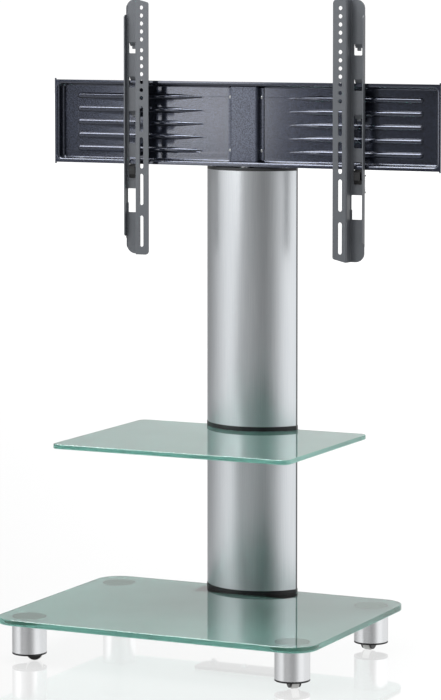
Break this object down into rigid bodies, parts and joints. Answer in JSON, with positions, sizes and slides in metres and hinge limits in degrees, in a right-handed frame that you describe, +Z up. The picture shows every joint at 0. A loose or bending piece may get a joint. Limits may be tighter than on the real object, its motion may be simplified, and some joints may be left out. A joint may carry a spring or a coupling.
{
  "type": "television stand",
  "caption": "Floor stand for a flat screen: frosted glass base on castor feet, bowed aluminium column, glass shelf, and a ribbed steel tray with sliding screen arms.",
  "frame": {"origin": "on the floor, under the middle of the base glass", "axes": "+X to the right seen from the front, +Y to the rear, +Z up; screens face -Y"},
  "size_m": [0.757, 0.45, 1.144],
  "materials": {
    "frosted_glass": "satin-etched toughened glass with a green polished edge",
    "satin_aluminium": "satin anodised",
    "dark_cover": "extruded cover with a fine satin skin",
    "disc_steel": "turned disc bonded under the glass",
    "black_plastic": "moulded, fine grain",
    "castor_plastic": "moulded, semi-gloss",
    "castor_tread": "soft non-marking tread",
    "gasket_rubber": "die-cut sheet",
    "zinc_steel": "bright zinc plated",
    "black_coat": "black powder coat",
    "tray_coat": "dark blue-grey metallic powder coat",
    "arm_coat": "dark grey powder coat",
    "latch_plastic": "moulded glass-filled nylon"
  },
  "bodies": {
    "stand": {"base_glass": "frosted_glass", "shelf_glass": "frosted_glass", "lower_column": "satin_aluminium", "upper_column": "satin_aluminium", "foot_sleeve_fl": "satin_aluminium", "foot_sleeve_fr": "satin_aluminium", "foot_sleeve_rl": "satin_aluminium", "foot_sleeve_rr": "satin_aluminium", "lower_rear_cover": "dark_cover", "upper_rear_cover": "dark_cover", "foot_disc_fl": "disc_steel", "foot_disc_fr": "disc_steel", "foot_disc_rl": "disc_steel", "foot_disc_rr": "disc_steel", "lower_collar": "black_plastic", "upper_collar": "black_plastic", "foot_insert_fl": "black_plastic", "foot_insert_fr": "black_plastic", "foot_insert_rl": "black_plastic", "foot_insert_rr": "black_plastic", "shelf_gasket": "gasket_rubber", "base_gasket": "gasket_rubber", "tie_rods": "zinc_steel", "base_nuts": "zinc_steel", "head_nuts": "zinc_steel", "mount_bolts": "zinc_steel", "mount_nuts": "zinc_steel", "channel_rivets": "zinc_steel", "clamp_plate": "black_coat", "column_cap": "black_coat", "head_bracket": "black_coat", "mount_tray": "tray_coat", "centre_channel": "tray_coat"},
    "castor_fl": {"castor_fork_fl": "castor_plastic", "castor_axle_fl": "zinc_steel"},
    "wheels_fl": {"castor_wheels_fl": "castor_plastic", "castor_tyres_fl": "castor_tread"},
    "castor_fr": {"castor_fork_fr": "castor_plastic", "castor_axle_fr": "zinc_steel"},
    "wheels_fr": {"castor_wheels_fr": "castor_plastic", "castor_tyres_fr": "castor_tread"},
    "castor_rl": {"castor_fork_rl": "castor_plastic", "castor_axle_rl": "zinc_steel"},
    "wheels_rl": {"castor_wheels_rl": "castor_plastic", "castor_tyres_rl": "castor_tread"},
    "castor_rr": {"castor_fork_rr": "castor_plastic", "castor_axle_rr": "zinc_steel"},
    "wheels_rr": {"castor_wheels_rr": "castor_plastic", "castor_tyres_rr": "castor_tread"},
    "arm_left": {"arm_left": "arm_coat", "latch_rivets_left": "arm_coat", "latch_spring_left": "zinc_steel"},
    "latch_left": {"latch_left": "latch_plastic"},
    "arm_right": {"arm_right": "arm_coat", "latch_rivets_right": "arm_coat", "latch_spring_right": "zinc_steel"},
    "latch_right": {"latch_right": "latch_plastic"}
  },
  "joints": [
    {"name": "swivel_fl", "type": "hinge", "parent": "stand", "child": "castor_fl", "pos_m": [-0.25, -0.17, 0.05], "axis": [0, 0, 1], "continuous": true},
    {"name": "roll_fl", "type": "hinge", "parent": "castor_fl", "child": "wheels_fl", "pos_m": [-0.24184, -0.1662, 0.015], "axis": [-0.4226, 0.9063, 0], "continuous": true},
    {"name": "swivel_fr", "type": "hinge", "parent": "stand", "child": "castor_fr", "pos_m": [0.25, -0.17, 0.05], "axis": [0, 0, 1], "continuous": true},
    {"name": "roll_fr", "type": "hinge", "parent": "castor_fr", "child": "wheels_fr", "pos_m": [0.25579, -0.17689, 0.015], "axis": [0.766, 0.6428, 0], "continuous": true},
    {"name": "swivel_rl", "type": "hinge", "parent": "stand", "child": "castor_rl", "pos_m": [-0.25, 0.17, 0.05], "axis": [0, 0, 1], "continuous": true},
    {"name": "roll_rl", "type": "hinge", "parent": "castor_rl", "child": "wheels_rl", "pos_m": [-0.25846, 0.16692, 0.015], "axis": [0.342, -0.9397, 0], "continuous": true},
    {"name": "swivel_rr", "type": "hinge", "parent": "stand", "child": "castor_rr", "pos_m": [0.25, 0.17, 0.05], "axis": [0, 0, 1], "continuous": true},
    {"name": "roll_rr", "type": "hinge", "parent": "castor_rr", "child": "wheels_rr", "pos_m": [0.24953, 0.16101, 0.015], "axis": [0.9986, -0.0523, 0], "continuous": true},
    {"name": "arm_slide_left", "type": "slide", "parent": "stand", "child": "arm_left", "axis": [-1, 0, 0], "range_m": [-0.116, 0.1455]},
    {"name": "latch_slide_left", "type": "slide", "parent": "arm_left", "child": "latch_left", "axis": [0, 0, 1], "range_m": [-0.0065, 0], "stiffness_N_per_m": 250, "springref_m": 0.004, "deforming": ["latch_spring_left"]},
    {"name": "arm_slide_right", "type": "slide", "parent": "stand", "child": "arm_right", "axis": [1, 0, 0], "range_m": [-0.123, 0.1385]},
    {"name": "latch_slide_right", "type": "slide", "parent": "arm_right", "child": "latch_right", "axis": [0, 0, 1], "range_m": [-0.0065, 0], "stiffness_N_per_m": 250, "springref_m": 0.004, "deforming": ["latch_spring_right"]}
  ]
}
